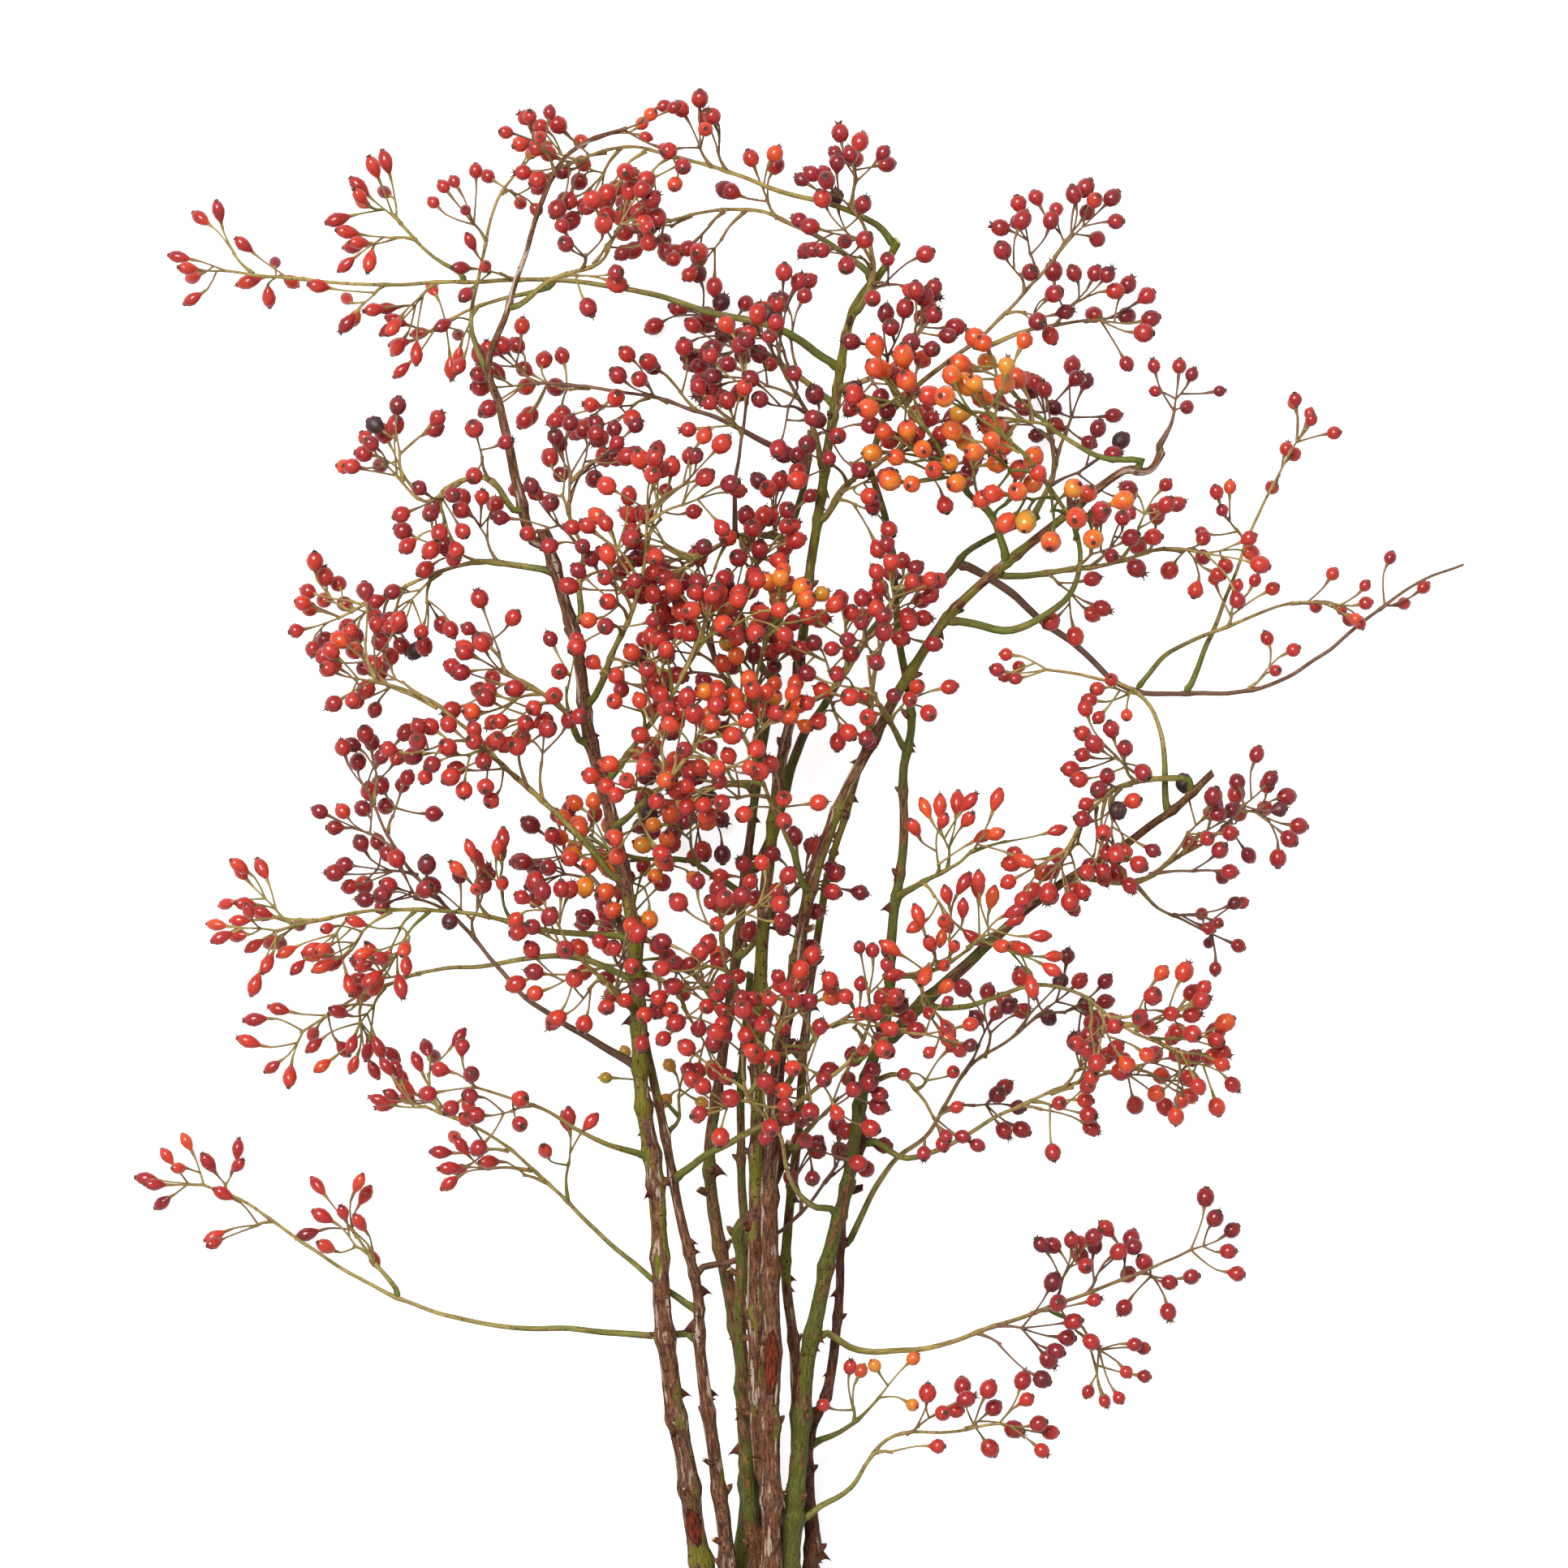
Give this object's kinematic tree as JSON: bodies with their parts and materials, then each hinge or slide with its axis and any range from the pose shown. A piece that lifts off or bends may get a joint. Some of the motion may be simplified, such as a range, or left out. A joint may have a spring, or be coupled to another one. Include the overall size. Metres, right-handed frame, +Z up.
{
  "type": "bunch of rose hip branches",
  "caption": "Cut rose canes with side sprays of red, orange and dark hips, held at the foot by a rubber band and laid flat.",
  "frame": {"origin": "middle of the underside of the whole bunch's box, on the surface it lies on", "axes": "+Z up, +Y along the bunch from the cut ends to the tips, +X to the right seen from above with the tips away"},
  "size_m": [0.5582, 0.6878, 0.1524],
  "materials": {
    "bark_brown": "matt bark",
    "bark_green": "smooth green bark",
    "bark_dark": "matt bark",
    "hips_red": "glossy skin on thin green stalks",
    "hips_scarlet": "glossy skin on thin green stalks",
    "hips_maroon": "glossy skin on thin brown stalks",
    "hips_orange": "glossy skin on thin green stalks",
    "tan_rubber": "matt rubber"
  },
  "bodies": {
    "root": {"cane_a": "bark_brown", "cane_b": "bark_brown", "cane_c": "bark_green", "cane_d": "bark_green", "cane_f": "bark_brown", "cane_g": "bark_green", "cane_h": "bark_dark", "cane_i": "bark_brown", "cane_k": "bark_green", "cane_l": "bark_brown", "left_low_long": "hips_red", "left_low": "hips_red", "left_brown": "hips_maroon", "left_mid_high": "hips_scarlet", "left_mid_low": "hips_red", "left_up": "hips_red", "left_high": "hips_red", "left_high_arch": "hips_red", "middle_a": "hips_scarlet", "middle_b": "hips_red", "middle_c": "hips_maroon", "middle_d": "hips_maroon", "middle_e": "hips_maroon", "green_arch": "hips_red", "green_curve": "hips_red", "cross_dark": "hips_maroon", "cluster_centre": "hips_red", "centre_left": "hips_red", "centre_right": "hips_maroon", "centre_orange": "hips_orange", "front_orange": "hips_orange", "front_red": "hips_scarlet", "right_of_b": "hips_red", "upper_right_l": "hips_red", "upper_tip_l": "hips_red", "top_left": "hips_red", "top_left_low": "hips_red", "top_long": "hips_red", "upper_middle": "hips_red", "upper_dark": "hips_maroon", "top_centre": "hips_maroon", "right_top": "hips_maroon", "orange_a": "hips_orange", "orange_b": "hips_orange", "orange_c": "hips_orange", "right_flat": "hips_red", "back_dark": "hips_maroon", "right_long": "hips_red", "right_twist": "hips_red", "right_cluster": "hips_red", "right_low_dark": "hips_maroon", "bright_low": "hips_scarlet", "bright_high": "hips_scarlet", "right_big": "hips_scarlet", "right_straight": "hips_red", "right_rise": "hips_maroon", "low_right": "hips_maroon", "low_end": "hips_red", "band": "tan_rubber"}
  },
  "joints": []
}
